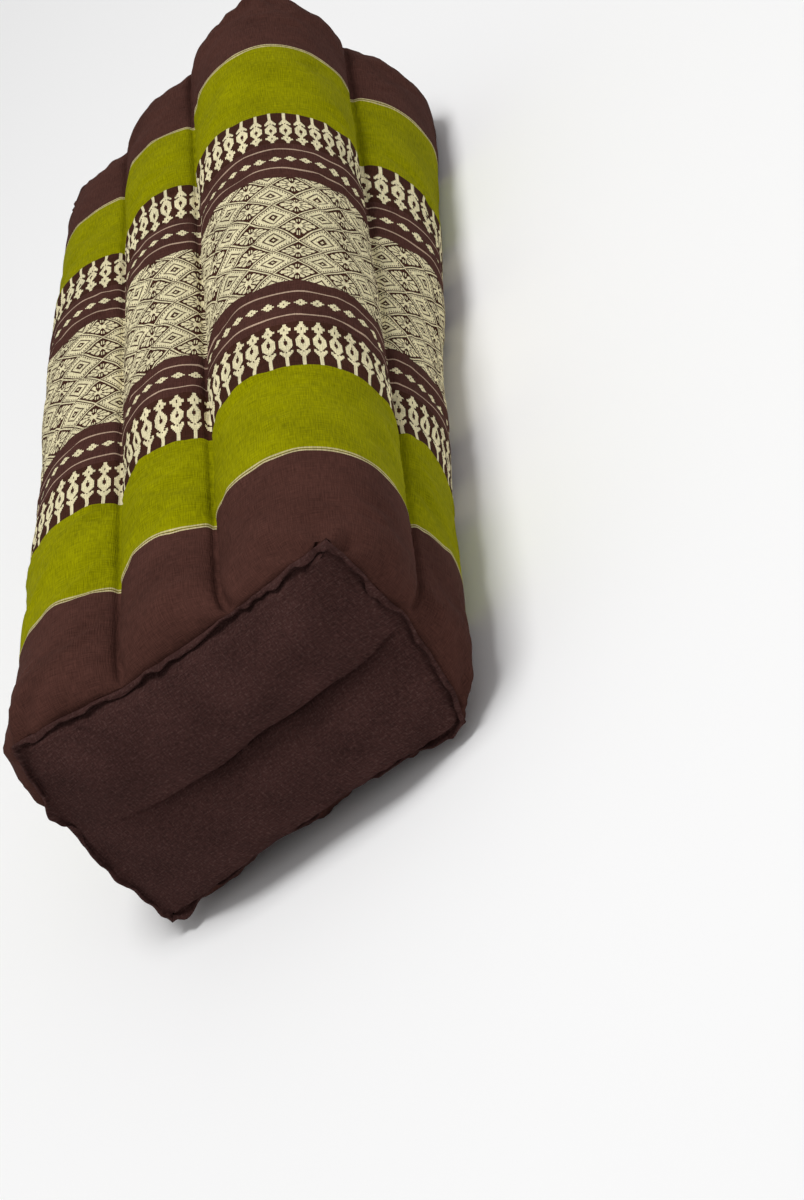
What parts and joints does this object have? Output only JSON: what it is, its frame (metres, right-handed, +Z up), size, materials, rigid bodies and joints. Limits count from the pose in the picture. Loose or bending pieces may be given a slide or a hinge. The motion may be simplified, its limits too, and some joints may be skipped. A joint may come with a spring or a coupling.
{
  "type": "thai block cushion",
  "caption": "Firm rectangular block cushion of sewn channels in banded woven cloth, with plain end panels inside a raised pinched seam.",
  "frame": {"origin": "middle of the bounding box at the underside, where the cushion rests", "axes": "+Y along the sewn channels away from the front end, +Z up from the wide side it lies on, +X across"},
  "size_m": [0.1954, 0.5208, 0.122],
  "materials": {
    "woven_cover": "matte woven cotton in bands of brown, lime green and cream motifs",
    "end_cloth": "matte plain brown cotton, slightly linty"
  },
  "bodies": {
    "root": {"cover": "woven_cover", "end_panel_front": "end_cloth", "end_panel_back": "end_cloth"}
  },
  "joints": []
}
